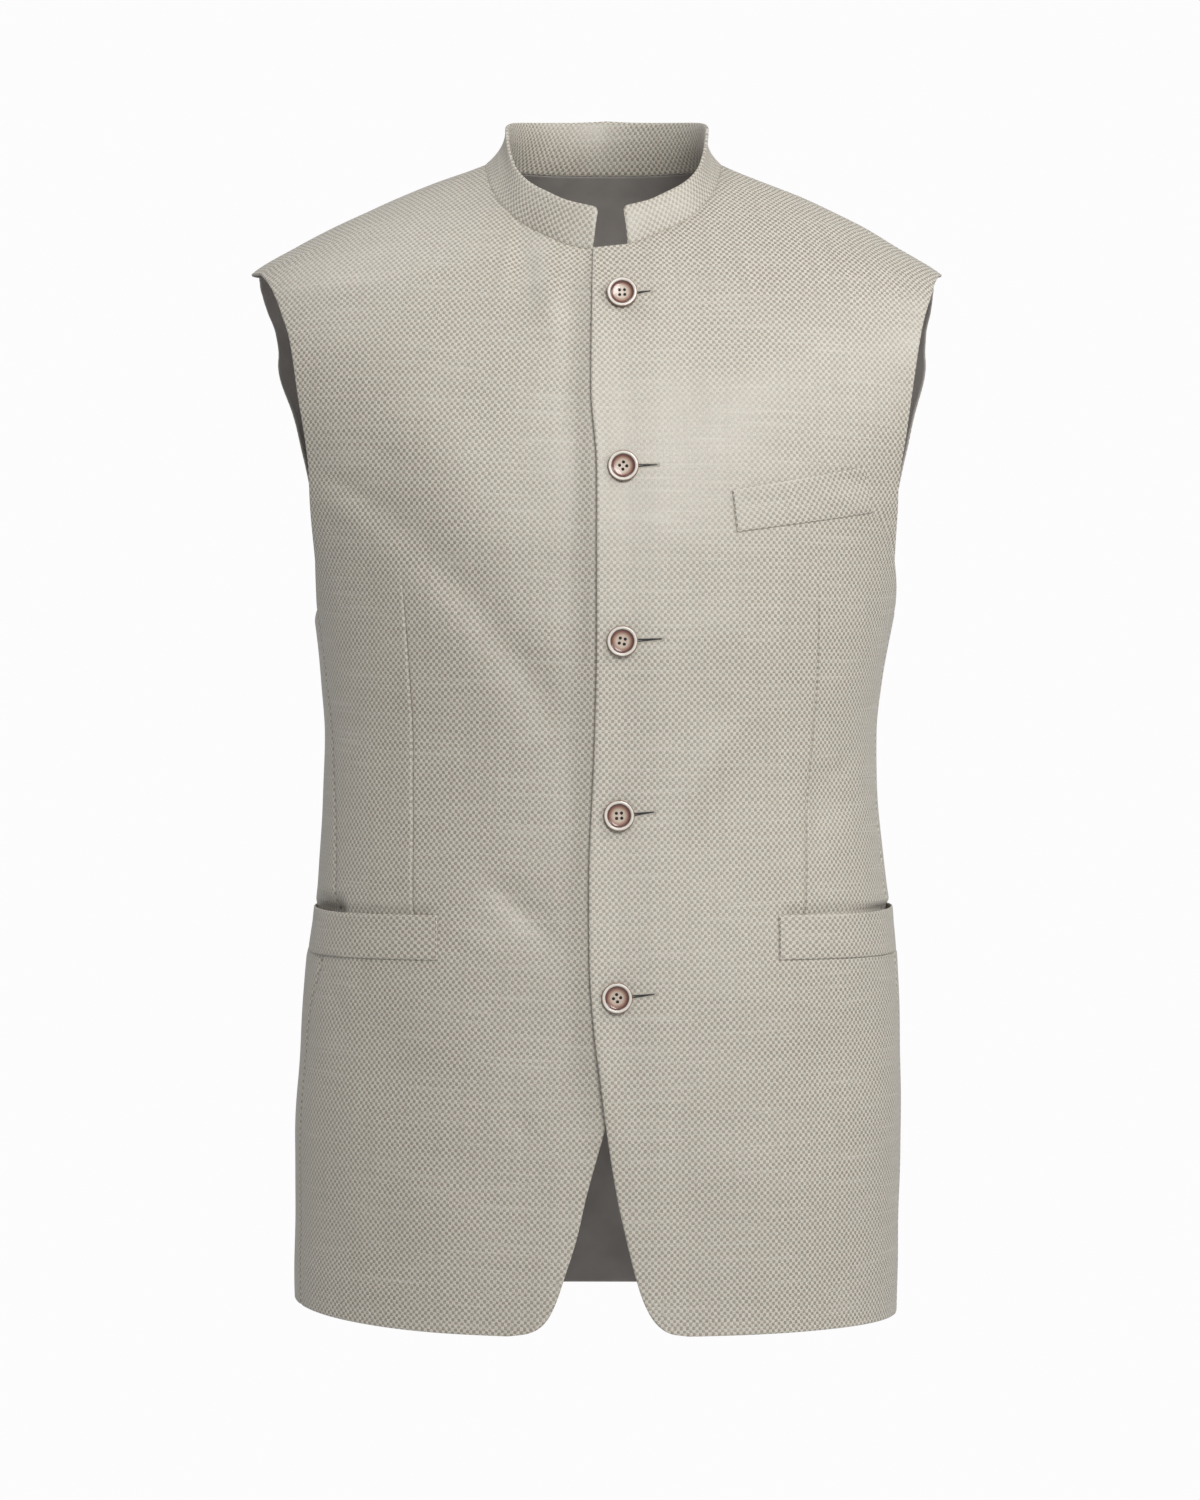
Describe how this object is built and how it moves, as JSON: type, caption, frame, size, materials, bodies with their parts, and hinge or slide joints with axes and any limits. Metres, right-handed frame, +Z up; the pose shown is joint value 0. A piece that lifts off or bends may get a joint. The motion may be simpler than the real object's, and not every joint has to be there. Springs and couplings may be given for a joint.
{
  "type": "nehru jacket",
  "caption": "Sleeveless buttoned jacket with a stand collar, cutaway hem, chest welt and slanted hip welts, hollow as worn.",
  "frame": {"origin": "middle of the neck opening, at the height where the shoulders meet the neck, where the wearer's shoulders and neck hold the jacket", "axes": "+Z up, the front faces -Y and the wearer's left side is +X"},
  "size_m": [0.444, 0.2702, 0.768],
  "materials": {
    "suiting": "matte basket weave of cream and taupe slub yarns",
    "button": "horn-like, glossy, pale rim and brown ring",
    "thread": "matte charcoal buttonhole thread",
    "button_thread": "matte cream thread"
  },
  "bodies": {
    "root": {"front_left": "suiting", "front_right": "suiting", "side_left": "suiting", "side_right": "suiting", "back": "suiting", "collar": "suiting", "chest_welt": "suiting", "hip_welt_left": "suiting", "hip_welt_right": "suiting", "button_1": "button", "button_2": "button", "button_3": "button", "button_4": "button", "button_5": "button"}
  },
  "joints": []
}
